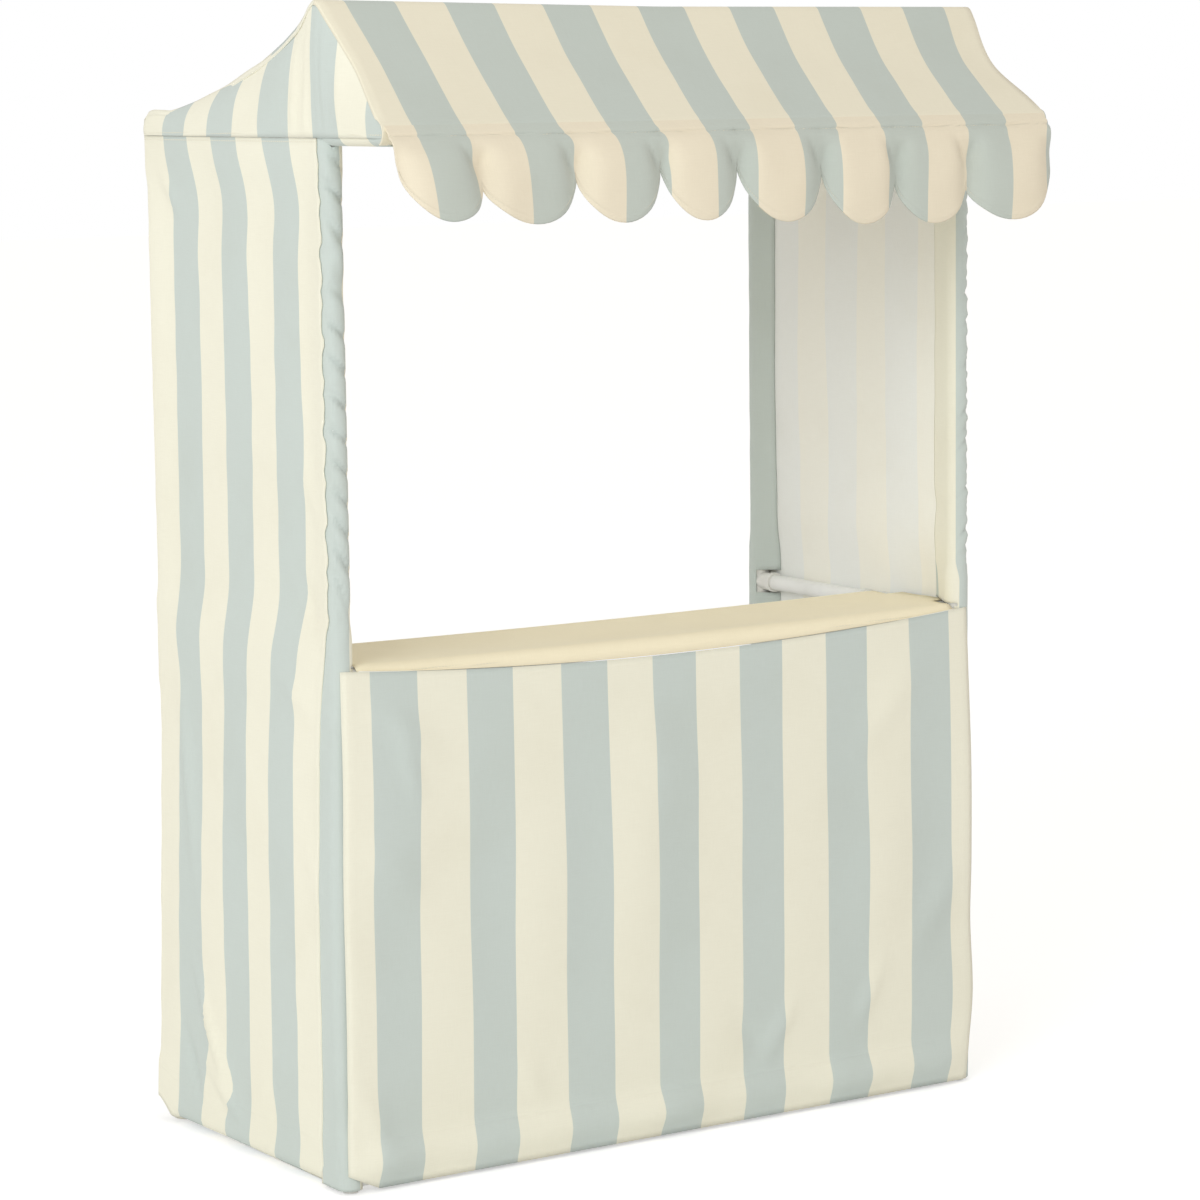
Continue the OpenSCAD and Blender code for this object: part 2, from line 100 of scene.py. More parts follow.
def smooth(t):
    t = np.clip(t, 0, 1)
    return t * t * (3 - 2 * t)


def bump(t):
    """1 at t = 0, falling to 0 at t = 1 and -1."""
    return smooth(1 - np.abs(t))


def straight(t, table):
    """Joins given (t, value) pairs with straight lines."""
    return np.interp(t, *zip(*table))


KNOT_STEPS = 40
KNOT_WINDOW = 41


def knots(t, table):
    """Joins given (t, value) pairs with a rounded line."""
    fine = np.linspace(table[0][0], table[-1][0], KNOT_STEPS * len(table))
    padded = np.pad(straight(fine, table), KNOT_WINDOW // 2, mode="edge")
    window = np.hanning(KNOT_WINDOW + 2)[1:-1]
    return np.interp(t, fine, np.convolve(padded, window / window.sum(), "valid"))


RIPPLE_GAIN = 1.6


def ripples(a, b, length, seed, waves=6):
    """Seeded soft noise of about that wavelength, mostly between -1 and 1."""
    rng = np.random.default_rng(seed)
    total = 0
    for _ in range(waves):
        turn = rng.uniform(0, 2 * math.pi)
        pitch = length * rng.uniform(0.7, 1.6)
        phase = rng.uniform(0, 2 * math.pi)
        facing = a * math.cos(turn) + b * math.sin(turn)
        total = total + np.sin(2 * math.pi * facing / pitch + phase)
    return total / waves * RIPPLE_GAIN


def crease(a, b, start, end, width, depth):
    """A fold along a line from start to end, deepest in its middle."""
    run = np.array(end, float) - np.array(start, float)
    length = np.hypot(*run)
    run /= length
    along = ((a - start[0]) * run[0] + (b - start[1]) * run[1]) / length
    across = (a - start[0]) * -run[1] + (b - start[1]) * run[0]
    return depth * bump(2 * along - 1) * np.exp(-((across / width) ** 2))


def creases(a, b, table):
    return sum(crease(a, b, *row) for row in table)


def arc(c, r, a0, a1, n):
    """Points round a circle, angles in degrees."""
    a = np.radians(np.linspace(a0, a1, n + 1))
    return np.stack([c[0] + r * np.cos(a), c[1] + r * np.sin(a)], -1)


def run_lengths(path):
    """Length run at each point of a path."""
    steps = np.hypot(*np.diff(path, axis=0).T)
    return np.concatenate([[0], np.cumsum(steps)])


def lengths_along(paths):
    """Length run at each point of many paths side by side."""
    steps = np.diff(paths, axis=0, prepend=paths[:1])
    return np.cumsum(np.hypot(steps[..., 0], steps[..., 1]), 0)


def resampled(path, n):
    """n + 1 points at even steps along a path."""
    lengths = run_lengths(path)
    at = np.linspace(0, lengths[-1], n + 1)
    return np.stack([np.interp(at, lengths, path[:, k]) for k in range(2)], -1)


def cells(length, step=GRID):
    return max(2, int(round(length / step)))


def middle(rows):
    return (rows[:-1] + rows[1:]) / 2


def doubled(rows):
    """Repeats the first and last columns."""
    return np.pad(rows, ((0, 0), (1, 1)), mode="edge")


def stack(x, y, z):
    x, y, z = np.broadcast_arrays(x, y, z)
    return np.stack([x, y, z], -1)


def pair(a, b):
    a, b = np.broadcast_arrays(a, b)
    return np.stack([a, b], -1).astype(float)


# Cloth meshes

def grid(points, cut, stitch=None, keep=None, flip=False):
    """One sheet of cells, in rows and columns.

    cut is each point's place on the flat cloth, stitch its distance from a seam, keep the cells to keep.
    """
    points = np.asarray(points, float)
    cut = np.asarray(cut, float)
    if stitch is None:
        stitch = np.full(points.shape[:2], FAR)
    if keep is None:
        keep = np.ones((points.shape[0] - 1, points.shape[1] - 1), bool)
    return {"points": points, "cut": cut, "stitch": stitch, "keep": keep, "flip": flip}


def cloth(name, grids, materials, thickness=CLOTH_T):
    """A piece made of sheets that keeps each point's place on the flat cloth, with its thickness."""
    points = []
    cuts = []
    faces = []
    base = 0
    for g in grids:
        rows, cols = g["points"].shape[:2]
        points.append(g["points"].reshape(-1, 3))
        laid = np.concatenate([g["cut"], np.asarray(g["stitch"])[..., None]], -1)
        cuts.append(laid.reshape(-1, 3))
        for j, i in zip(*np.nonzero(g["keep"])):
            a = base + int(j) * cols + int(i)
            quad = (a, a + 1, a + cols + 1, a + cols)
            faces.append(quad[::-1] if g["flip"] else quad)
        base += rows * cols
    points = (np.concatenate(points) + [0, FRONT_Y, 0]) * MM
    cuts = np.concatenate(cuts) * MM
    faces = np.array(faces)
    used = np.unique(faces.ravel())
    fresh = np.zeros(len(points), int)
    fresh[used] = np.arange(len(used))
    mesh = bpy.data.meshes.new(name)
    mesh.from_pydata(points[used].tolist(), [], fresh[faces].tolist())
    attribute = mesh.attributes.new("cut", "FLOAT_VECTOR", "POINT")
    attribute.data.foreach_set("vector", cuts[used].ravel())
    for material in materials:
        mesh.materials.append(material)
    mesh.shade_smooth()
    piece = bpy.data.objects.new(name, mesh)
    bpy.context.collection.objects.link(piece)
    thick = piece.modifiers.new("thickness", "SOLIDIFY")
    thick.thickness = thickness * MM
    thick.offset = 0
    thick.material_offset = len(materials) - 1
    return piece


# Materials

def colour(r, g, b):
    """A colour written as it looks, 0 to 255, as Blender's linear values."""
    def linear(c):
        c /= 255
        return c / 12.92 if c <= 0.04045 else ((c + 0.055) / 1.055) ** 2.4
    return (linear(r), linear(g), linear(b), 1)


WHITE = (1, 1, 1, 1)


class Nodes:
    """Short calls that add shader nodes to a material or a world and link them."""

    def __init__(self, owner):
        owner.use_nodes = True
        self.tree = owner.node_tree

    def put(self, socket, value):
        if isinstance(value, bpy.types.NodeSocket):
            self.tree.links.new(value, socket)
        else:
            socket.default_value = value

    def math(self, operation, a, b=0.0, c=0.0):
        node = self.tree.nodes.new("ShaderNodeMath")
        node.operation = operation
        for socket, value in zip(node.inputs, (a, b, c)):
            self.put(socket, value)
        return node.outputs[0]

    def blend(self, factor, a, b, kind="MIX"):
        node = self.tree.nodes.new("ShaderNodeMix")
        node.data_type = "RGBA"
        node.blend_type = kind
        self.put(node.inputs["Factor"], factor)
        self.put(node.inputs[6], a)
        self.put(node.inputs[7], b)
        return node.outputs[2]

    def ramp(self, value, low, high, to_low=0.0, to_high=1.0, kind="SMOOTHSTEP"):
        node = self.tree.nodes.new("ShaderNodeMapRange")
        node.interpolation_type = kind
        for k, v in enumerate((value, low, high, to_low, to_high)):
            self.put(node.inputs[k], v)
        return node.outputs[0]

    def noise(self, vector, scale, detail=2.0):
        node = self.tree.nodes.new("ShaderNodeTexNoise")
        node.inputs["Scale"].default_value = scale
        node.inputs["Detail"].default_value = detail
        self.put(node.inputs["Vector"], vector)
        return node.outputs["Fac"]

    def vector(self, x, y, z):
        node = self.tree.nodes.new("ShaderNodeCombineXYZ")
        for socket, value in zip(node.inputs, (x, y, z)):
            self.put(socket, value)
        return node.outputs[0]

    def split(self, vector):
        node = self.tree.nodes.new("ShaderNodeSeparateXYZ")
        self.put(node.inputs[0], vector)
        return node.outputs

    def bump(self, height, distance, strength, under=None):
        node = self.tree.nodes.new("ShaderNodeBump")
        node.inputs["Strength"].default_value = strength
        node.inputs["Distance"].default_value = distance
        self.put(node.inputs["Height"], height)
        if under:
            self.put(node.inputs["Normal"], under)
        return node.outputs[0]

    def place(self, kind="Object"):
        return self.tree.nodes.new("ShaderNodeTexCoord").outputs[kind]

    def seen(self):
        """1 for what the camera sees, straight or in a gloss, and 0 for the light that things get."""
        path = self.tree.nodes.new("ShaderNodeLightPath")
        seen = self.math("MAXIMUM", path.outputs["Is Camera Ray"], path.outputs["Is Glossy Ray"])
        return self.math("MAXIMUM", seen, path.outputs["Is Transmission Ray"])


def fresh_material(name):
    material = bpy.data.materials.new(name)
    n = Nodes(material)
    return material, n, n.tree.nodes["Principled BSDF"].inputs


# Cotton, in metres or per metre: yarns, slubs across and along a yarn, stitches and the pucker beside them
YARN = 0.0011
SLUB_ACROSS = 1400.0
SLUB_ALONG = 60.0
STITCH_RATE = 280.0
STITCH_HALF = (0.0004, 0.0009)
STITCH_GAP = (0.68, 0.78)
STITCH_SHOWS = 0.55
PUCKER_HALF = 0.0035
SLUB_TINT = (0.62, 0.58, 0.5, 1)
FADE_TINT = (0.78, 0.74, 0.66, 1)
STRIPE_BLUR = 0.02


def woven(name, ground, band, thread):
    """Yarn-dyed cotton: stripes, slubs along both yarns, weave, stitch lines and a little fading."""
    material, n, shader = fresh_material(name)
    cut = n.tree.nodes.new("ShaderNodeAttribute")
    cut.attribute_name = "cut"
    across, along, stitch = n.split(cut.outputs["Vector"])

    def slubs(across_rate, along_rate, layer):
        x = n.math("MULTIPLY", across, across_rate)
        y = n.math("MULTIPLY", along, along_rate)
        return n.noise(n.vector(x, y, layer), 1.0)

    def yarns(direction):
        return n.math("SINE", n.math("MULTIPLY", direction, 2 * math.pi / YARN))

    tone = ground
    if band:
        turn = n.math("SINE", n.math("MULTIPLY", across, math.pi / (STRIPE * MM)))
        tone = n.blend(n.ramp(turn, STRIPE_BLUR, -STRIPE_BLUR), ground, band)
    slub = n.math("ADD", slubs(SLUB_ACROSS, SLUB_ALONG, 0.0), slubs(SLUB_ALONG, SLUB_ACROSS, 5.0))
    tone = n.blend(n.ramp(slub, 0.7, 1.3, 0.0, 0.06), tone, SLUB_TINT, "MULTIPLY")
    fade = n.noise(n.vector(across, along, 3.0), 9.0, 4.0)
    tone = n.blend(n.ramp(fade, 0.45, 0.75, 0.0, 0.10), tone, FADE_TINT, "MULTIPLY")

    away = n.math("ABSOLUTE", stitch)
    line = n.ramp(away, *STITCH_HALF, 1.0, 0.0)
    dash = n.math("FRACT", n.math("MULTIPLY", n.math("ADD", across, along), STITCH_RATE))
    sewn = n.math("MULTIPLY", line, n.ramp(dash, *STITCH_GAP, 1.0, 0.0))
    tone = n.blend(n.math("MULTIPLY", sewn, STITCH_SHOWS), tone, thread)
    pucker = n.ramp(away, 0.0, PUCKER_HALF, 1.0, 0.0)

    n.put(shader["Base Color"], tone)
    n.put(shader["Roughness"], 0.92)
    n.put(shader["Specular IOR Level"], 0.2)
    n.put(shader["Sheen Weight"], 0.12)
    n.put(shader["Sheen Roughness"], 0.6)
    n.put(shader["Sheen Tint"], WHITE)

    weave = n.math("MULTIPLY", yarns(across), yarns(along))
    fine = n.bump(n.math("ADD", n.math("MULTIPLY", weave, 0.3), slub), 0.00012, 0.5)
    seam = n.bump(pucker, 0.0007, 0.5, fine)
    n.put(shader["Normal"], n.bump(sewn, 0.0003, 0.6, seam))
    return material


GRIME_TINT = (0.80, 0.79, 0.76, 1)


def coated(name, tone, roughness, peel, peel_depth):
    """White coat on a tube or a moulded connector: faint orange peel, rubbed and dusty patches."""
    material, n, shader = fresh_material(name)
    place = n.place()
    patch = n.noise(place, 25.0, 4.0)
    grime = n.ramp(patch, 0.45, 0.75, 0.0, 0.35)
    n.put(shader["Base Color"], n.blend(grime, tone, GRIME_TINT, "MULTIPLY"))
    n.put(shader["Roughness"], n.ramp(patch, 0.3, 0.7, roughness - 0.08, roughness + 0.1))
    n.put(shader["Normal"], n.bump(n.noise(place, peel, 2.0), peel_depth, 0.4))
    return material


CREAM = colour(245, 242, 224)
BLUE = colour(206, 215, 210)
# Painted shade: a darker copy of the stripes for the awning; the rear roof, of the same cloth, keeps the
# lighter colours
SHADED_CREAM = colour(242, 235, 213)
SHADED_BLUE = colour(200, 208, 201)
# Painted shade: a darker copy of the stripes for the hanging valance
HUNG_SHADED_CREAM = colour(241, 230, 207)
HUNG_SHADED_BLUE = colour(199, 206, 198)
# The counter's plain warm cream, brightened to near full white as painted light on the shelf under the
# awning
WARM_CREAM_BRIGHTENED = colour(255, 244, 214)
# Reverse side: paler than the print, and brightened further to near white as painted light that stands in
# for light shining through the cloth
CREAM_BACK_THROUGHLIT = colour(250, 248, 238)
BLUE_BACK_THROUGHLIT = colour(245, 246, 242)
THREAD = colour(236, 230, 208)

STRIPED = woven("striped_cotton", CREAM, BLUE, THREAD)
STRIPED_BACK_THROUGHLIT = woven("striped_cotton_reverse_throughlit", CREAM_BACK_THROUGHLIT, BLUE_BACK_THROUGHLIT, THREAD)
SHADED_STRIPED = woven("striped_cotton_shaded", SHADED_CREAM, SHADED_BLUE, THREAD)
HUNG_SHADED = woven("striped_cotton_hung_shaded", HUNG_SHADED_CREAM, HUNG_SHADED_BLUE, THREAD)
PLAIN_BRIGHTENED = woven("cream_cotton_brightened", WARM_CREAM_BRIGHTENED, None, THREAD)
PLAIN_BACK_THROUGHLIT = woven("cream_cotton_reverse_throughlit", CREAM_BACK_THROUGHLIT, None, THREAD)
TUBE = coated("white_powder_coat", colour(240, 240, 237), 0.38, 700.0, 0.00008)
MOULDED = coated("white_moulded_plastic", colour(236, 235, 230), 0.5, 260.0, 0.00005)

for subpart in frame["record"]["subparts"]:
    finish = {"tube": TUBE, "connector": MOULDED}.get(subpart["material_slot"])
    if finish:
        for place in frame["nodes"][subpart["node"]].material_slots:
            place.material = finish


# Side walls, in plan from a post axis: u outward, y back

# The front seam: how far it lies behind the post, stands out over the sleeve and wanders
LOW_SHIFT = 20
FLOOR_SHIFT = 6
FLOOR_FADE = 150
SEAM_LIFT = 1.8
LOW_LESS = 0.9
SEAM_WANDER = 3.2
SEAM_WAVES = [(0.5, 0.97, 0), (0.35, 0.61, 1), (0.3, 1.7, 2)]
PUCKER = {-1: 30, 1: 14}
TWIST = {-1: 4.6, 1: 2.0}

# The wall between the posts: outward slack, how far it is drawn in, and where the posts still hold it
LOW_BULGE = (5, 13)
BULGE_TOP = COUNTER_Z - 28
EAVE_BULGE = 4
WALL_DRAW = 7.5
LOW_DRAW = 0.25
WALL_WAVE = {-1: 1.6, 1: 2.6}
POST_HOLD = 42

# The sleeves round the posts: stitch lines, the rear one's turn and slack, and where the stripes fall
STITCH_Y = 38
REAR_STITCH = 24
REAR_TURN = 215
REAR_LIFT = 20
REAR_SLACK = (3, 7)
WALL_CUT = {-1: 5, 1: -16}
REAR_CUT = {-1: 0, 1: 22}
SLEEVE_CUT = -25
SLEEVE_FRONT = 25
SLEEVE_STEPS = 28
SLEEVE_GRID = 3

# Folds as (y, z) from, (y, z) to, width, depth
LEFT_FOLDS = [
    ((282, 190), (180, 20), 7, 7),
    ((300, 120), (240, 10), 6, -5),
    ((262, 90), (150, 12), 6, 5),
    ((300, 480), (255, 200), 8, 5),
    ((322, 930), (268, 860), 7, 4),
    ((70, 660), (0, 590), 10, 3),
    ((80, 570), (0, 490), 10, -3),
    ((110, 470), (10, 420), 12, 3),
    ((60, 330), (0, 240), 12, 2.5),
]
RIGHT_FOLDS = [
    ((260, 160), (180, 30), 10, 5),
    ((70, 600), (0, 540), 12, 3),
    ((90, 300), (10, 220), 14, 3),
    ((310, 920), (260, 850), 8, 3),
]
SIDES = {-1: (LEFT_FOLDS, 11), 1: (RIGHT_FOLDS, 21)}

# Stripes drawn aside: share taken up along the wall to near the rear post; (y, z), half sizes, pull
STRIPE_TAKE = {-1: 0.03, 1: 0}
TAKE_END = 35
DRIFTS = {
    -1: [
        (150, 905, 330, 75, 9),
        (110, 335, 75, 120, -5),
        (297, 420, 45, 75, 9),
        (166, 60, 260, 210, 3.5),
        (249, 100, 45, 80, 15),
        (202, 55, 45, 34, 18),
        (154, 55, 40, 42, 6),
        (106, 42, 45, 42, 8),
        (59, 30, 40, 40, 4),
    ],
    1: [],
}


def post_r(z):
    """A sleeve hugs its tube and swells over the connectors."""
    gap = np.minimum(np.abs(z - COUNTER_Z), np.minimum(np.abs(z - EAVE_Z), np.abs(z - BASE_Z)))
    return HUG_R + (SLEEVE_R - HUG_R) * (1 - smooth((gap - SOCKET_REACH) / 22))


def low_share(z):
    """1 below the counter, where the cover is looser, and 0 above it."""
    return 1 - smooth((z - COUNTER_Z + 75) / 140)


def seam_shift(z):
    """How far back the front seam lies: in line with the post above the counter, behind it below."""
    return LOW_SHIFT * low_share(z) + FLOOR_SHIFT * np.clip(1 - z / FLOOR_FADE, 0, 1)


def seam_lift(z):
    """How far the wall's front edge stands out over the sleeve; it lies flatter below the counter."""
    return SEAM_LIFT - LOW_LESS * low_share(z)


def puckered(z):
    """1 where the front seam is drawn up, above the counter."""
    return smooth((z - COUNTER_Z - 20) / 60) * smooth((SLEEVE_TOP - z) / 20)


def seam_wave(side, z):
    """How far the front seam wanders along the wall where it is puckered."""
    pitch = 2 * math.pi / PUCKER[side]
    waves = sum(size * np.sin(rate * pitch * z + phase) for size, rate, phase in SEAM_WAVES)
    return SEAM_WANDER * puckered(z) * waves


def drift(side, y, z):
    """How far the stripes are drawn aside."""
    taken = -STRIPE_TAKE[side] * np.maximum(STALL_D - TAKE_END - y, 0)
    for place, height, wide, tall, pull in DRIFTS[side]:
        taken = taken + pull * bump((y - place) / wide) * bump((z - height) / tall)
    return taken


def low_bulge(y, z):
    """Outward slack below the counter: at mid height in front, towards the floor at the rear."""
    front, rear = LOW_BULGE
    down = np.clip(1 - z / BULGE_TOP, 0, 1)
    share = np.clip(y / STALL_D, 0, 1)
    return front * np.sin(np.pi * down) * (1 - share) + rear * down ** 1.5 * share


def eave_bulge(y, z):
    span = np.sin(np.pi * np.clip(y / STALL_D, 0, 1))
    return EAVE_BULGE * span * bump((WALL_TOP - z) / 60)


def wall_slack(z):
    """How far the wall is drawn in at a height: not at all where a rail holds it out."""
    upper = smooth((SLEEVE_TOP - z) / 75) * smooth((z - COUNTER_Z - 6) / 70)
    lower = LOW_DRAW * smooth((COUNTER_Z - z) / 60) * smooth((z - POCKET_H) / 60)
    return np.where(z > COUNTER_Z, upper, lower)


def wall_u(side, y, z):
    """The wall's place outward from the post axes: out over posts and rails, drawn in between."""
    folds, seed = SIDES[side]
    hold = smooth(y / POST_HOLD) * smooth((STALL_D - y) / POST_HOLD)
    soft = ripples(y, z / 2.2, 120, seed) * WALL_WAVE[side] + ripples(y, z, 60, seed + 1) * 0.4
    edge = smooth((WALL_TOP - z) / 30) * smooth((z - 4) / 40)
    level = SLEEVE_R + (post_r(z) - SLEEVE_R) * (1 - hold) - WALL_DRAW * wall_slack(z) * hold
    folded = hold * edge * (soft + creases(y, z, folds))
    return level + low_bulge(y, z) + eave_bulge(y, z) + folded


def wall_rows(step=GRID):
    rails = [BASE_Z + NOTCH, COUNTER_Z - NOTCH, COUNTER_Z + NOTCH]
    marks = [WALL_FOOT] + rails + [SLEEVE_TOP, WALL_TOP]
    rows = [np.linspace(a, b, cells(b - a, step) + 1)[:-1] for a, b in zip(marks, marks[1:])]
    return np.concatenate(rows + [[WALL_TOP]])


def under_rail(u, y, z):
    """Below the base rail's middle the cloth turns in under it, between the end sockets."""
    free = smooth((y - SOCKET_REACH + 8) / 8) * smooth((STALL_D - SOCKET_REACH + 8 - y) / 8)
    drop = np.clip(BASE_Z - z, 0, SLEEVE_R)
    return u * (1 - free * (1 - np.sqrt(1 - (drop / SLEEVE_R) ** 2)))


def main_wall(side):
    seed = SIDES[side][1]
    z = wall_rows()[:, None]
    full = 0 * z
    shift = seam_shift(z)
    first = WALL_CUT[side]
    flat = np.linspace(first, first + STALL_D, cells(STALL_D) + 1)[None, :]
    y = shift + (flat - first) * (STALL_D - shift) / STALL_D
    edge = seam_lift(z) * bump((y - shift) / 12) * smooth((z - BASE_Z) / 30)
    u = under_rail(wall_u(side, y, z), y, z) + edge
    striped = flat + drift(side, y, z) * smooth((flat - first) / 40)
    y = y + seam_wave(side, z) * bump((flat - first) / 20)

    # Round the rear post, and on inside it to a stitch line on the wall
    turn = np.radians(np.linspace(0, REAR_TURN, 24))[None, 1:]
    r = post_r(z) + 0.35 * ripples(turn * 12, z, 45, seed + 2)
    loose = smooth((COUNTER_Z - 68 - z) / 200)
    outward, backward = REAR_SLACK
    flare = low_bulge(STALL_D, z) + outward * loose * np.sin(turn)
    rear_u = (r + flare * np.maximum(np.cos(turn), 0)) * np.cos(turn)
    rear_y = STALL_D + (r + backward * loose * np.maximum(np.sin(turn), 0)) * np.sin(turn)
    share = np.linspace(0, 1, 6)[None, 1:]
    sewn_u = wall_u(side, STALL_D - REAR_STITCH + full, z) - CLOTH_T
    flap_u = rear_u[:, -1:] + (sewn_u - rear_u[:, -1:]) * share
    flap_y = rear_y[:, -1:] + (STALL_D - REAR_STITCH - rear_y[:, -1:]) * share
    all_u = np.concatenate([u, rear_u, flap_u], 1)
    all_y = np.concatenate([y, rear_y, flap_y], 1)
    corner = first + STALL_D
    round_cut = corner + turn * HUG_R + REAR_CUT[side] * smooth(turn / 1.6)
    flap_cut = round_cut[:, -1:] + REAR_STITCH * share
    all_cut = np.concatenate([striped, round_cut + full, flap_cut + full], 1)
    stitch = np.minimum(np.abs(z - POCKET_H), np.abs(WALL_TOP - HEM_STITCH - z)) + 0 * all_u
    raised = z + REAR_LIFT * smooth((all_cut - corner + 35) / 40) * np.maximum(1 - z / 80, 0)

    # Openings for the rails and connectors
    round_at = np.concatenate([0 * flat, turn, turn[:, -1:] + share], 1)[:, :-1]
    height = middle(z)
    foot = (height < BASE_Z + NOTCH) & (round_at > 2.0)
    head = (height > SLEEVE_TOP) & (round_at > 1.0)
    socket = (np.abs(height - COUNTER_Z) < NOTCH) & (round_at > turn[0, -1] - 0.1)
    points = stack(side * (POST_X + all_u), all_y, raised)
    return grid(points, pair(all_cut, z), stitch, ~(foot | head | socket), side < 0)


def sleeve_path(side, z):
    """Plan of a front sleeve at one height: seam, round the post's front, and back inside as a flap."""
    start = float(seam_shift(z))
    r = float(post_r(z))
    out = r + float(low_bulge(start, z))
    stitch = np.array([float(wall_u(side, STITCH_Y + start, z)) - 1.0, STITCH_Y + start])
    leave = math.degrees(math.atan2(stitch[1], stitch[0]) + math.acos(r / np.hypot(*stitch)))
    ring = arc((0, 0), r, 360, leave, 40)
    ring[:, 0] = np.where(ring[:, 0] > 0, ring[:, 0] * out / r, ring[:, 0])
    under = float(wall_u(side, start, z) + seam_lift(z)) - 0.75
    tucked = out + 0.2 + (under - out - 0.2) * float(low_share(z))
    seam = np.array([[tucked, start + 4], [tucked, start + 0.5], [out + 0.2, start * 0.5]])
    return np.concatenate([seam, ring, [stitch]])


def front_sleeve(side):
    seed = SIDES[side][1]
    z = wall_rows(SLEEVE_GRID)
    paths = [sleeve_path(side, h) for h in z]
    plan = np.stack([resampled(p, SLEEVE_STEPS) for p in paths])
    length = np.array([run_lengths(p)[-1] for p in paths])[:, None]
    away = np.linspace(0, 1, SLEEVE_STEPS + 1)[None, :] * length
    zz = z[:, None] + 0 * away
    start = seam_shift(zz)
    out = plan / np.maximum(np.hypot(plan[..., 0], plan[..., 1]), 1)[..., None]

    # Puckers along the seam, and slanting wrinkles that run from it round the post
    pitch = PUCKER[side]
    loose = puckered(zz) * smooth((52 - away) / 12)
    drawn = 1.3 * ripples(zz, away, pitch, seed + 5) + 0.5 * ripples(zz, away, pitch / 2, seed + 6)
    slant = np.abs(ripples(zz + 1.2 * away, away * 0.3, 1.3 * PUCKER[-1], seed + 7))
    twist = TWIST[side] * (smooth(slant / 0.26) - 0.3) * smooth((SLEEVE_FRONT + 6 - away) / 12)
    lifted = np.maximum(bump((away - 8) / 12) * drawn, -0.5) + twist
    lift = loose * smooth((away - 8) / 6) * lifted
    plan = plan + out * lift[..., None]
    slide = bump((away - 4) / 16) * seam_wave(side, zz)
    dip = 9.0 * bump((away - 19) / 6) * smooth((zz - SLEEVE_TOP + 8) / 12)

    height = middle(zz)[:, :-1]
    inner = (away - start)[:-1, :-1] > SLEEVE_FRONT + 2
    open_cells = inner & ((np.abs(height - COUNTER_Z) < NOTCH) | (height < BASE_Z + NOTCH))
    points = stack(side * (POST_X + plan[..., 0]), plan[..., 1] + slide, zz - dip)
    stitch = np.minimum(np.abs(away - 3.0), np.abs(length - away - 2))
    return grid(points, pair(SLEEVE_CUT - away + 1.05 * start, zz), stitch, ~open_cells, side > 0)


POCKET_STEPS = 14


def base_pocket(side):
    """The cloth under the base rail and up inside it to the stitch line."""
    first, last = SOCKET_REACH, STALL_D - SOCKET_REACH
    y = np.linspace(first, last, cells(STALL_D - 2 * SOCKET_REACH) + 1)
    start = -math.degrees(math.asin((BASE_Z - WALL_FOOT) / SLEEVE_R))
    columns = []
    for place in y:
        wall = float(wall_u(side, place, POCKET_H)) - 1.0
        turn = arc((0, BASE_Z), SLEEVE_R, start, -180, POCKET_STEPS)
        wide = 1 + float(low_bulge(place, WALL_FOOT)) / SLEEVE_R
        turn[:, 0] = np.where(turn[:, 0] > 0, turn[:, 0] * wide, turn[:, 0])
        columns.append(resampled(np.concatenate([turn, [[wall, POCKET_H]]]), POCKET_STEPS))
    path = np.stack(columns, 1)
    down = np.linspace(0, 60, POCKET_STEPS + 1)[:, None] + 0 * y
    points = stack(side * (POST_X + path[..., 0]), y[None, :], path[..., 1])
    return grid(points, pair(y[None, :] + WALL_CUT[side], -down), None, None, side > 0)


# Roof, awning and gables share the roof's edge

FRONT_SLOPE = math.degrees(math.atan2(RIDGE_Z - EAVE_Z, REACH))
REAR_SLOPE = math.degrees(math.atan2(RIDGE_Z - EAVE_Z, STALL_D))
ROOF_GRID = 8
ROOF_SAG = 16
ROOF_CUT = 380
HEM_IN = 14
HEM_STEPS = 22
EDGE_FOLD = 4
EDGE_LIP = 4
LIP_OUT = 1.2
LIP_FLARE = 0.3

# The rows of the hems round the awning bar and the rear eave rail, open where the sockets are
AWNING_HEM = slice(0, 12)
REAR_HEM = slice(58, None)

# How far the roof's edge is pulled in from the cover's side, by y, and how much more on the right
EDGE_PULL = [
    (-125, -2), (-107, -1.5), (-92, 1), (-60, 6), (-30, 4), (-12, 0.5), (0, -0.5), (12, 0.5),
    (30, 6), (50, 10), (80, 13), (160, 15), (250, 10), (310, 4), (332, 5), (350, 9),
]
RIGHT_PULL = 6

# The roof's rear corners stand up a little over their connectors, and its ridge is higher on the left
CORNER_RISE = 7
RIDGE_RISE = (6, -0.4)

# How far the roof's stripes are drawn aside, by x: along the ridge and along the awning's seam
ROOF_DRIFT = [
    (-330, -1, 1), (-180, 1.2, -5), (-30, 5, -4.5),
    (70, 6.3, -5.5), (150, 7, -9.5), (330, 7, -10.8),
]


def edge_pull(y, side):
    more = RIGHT_PULL * bump((y + 57) / 46)
    return knots(y, EDGE_PULL) + np.where(np.asarray(side) > 0, more, 0)


def awning_sag(x):
    return 2 + 4 * smooth((x + COVER_X) / (2 * COVER_X))


def awning_section(x):
    """(y, z) from behind the bar, under it and up over the slope to the ridge, for one column."""
    hem = arc((-REACH, EAVE_Z), SLEEVE_R, 360 + 20, 90 + FRONT_SLOPE, HEM_STEPS)
    top = arc((0, RIDGE_Z), SLEEVE_R, 90 + FRONT_SLOPE, 90, 6)
    s = np.linspace(0, 1, 25)[1:-1, None]
    tilt = math.radians(FRONT_SLOPE)
    inward = np.array([math.sin(tilt), -math.cos(tilt)])
    belly = np.sin(np.pi * s) * (1 - 0.2 * np.sin(2 * np.pi * s))
    slope = hem[-1] + (top[0] - hem[-1]) * s + inward * awning_sag(x) * belly
    return np.concatenate([hem, slope, top])


def rear_sag(x):
    return ROOF_SAG - 3 * (x / COVER_X) ** 2


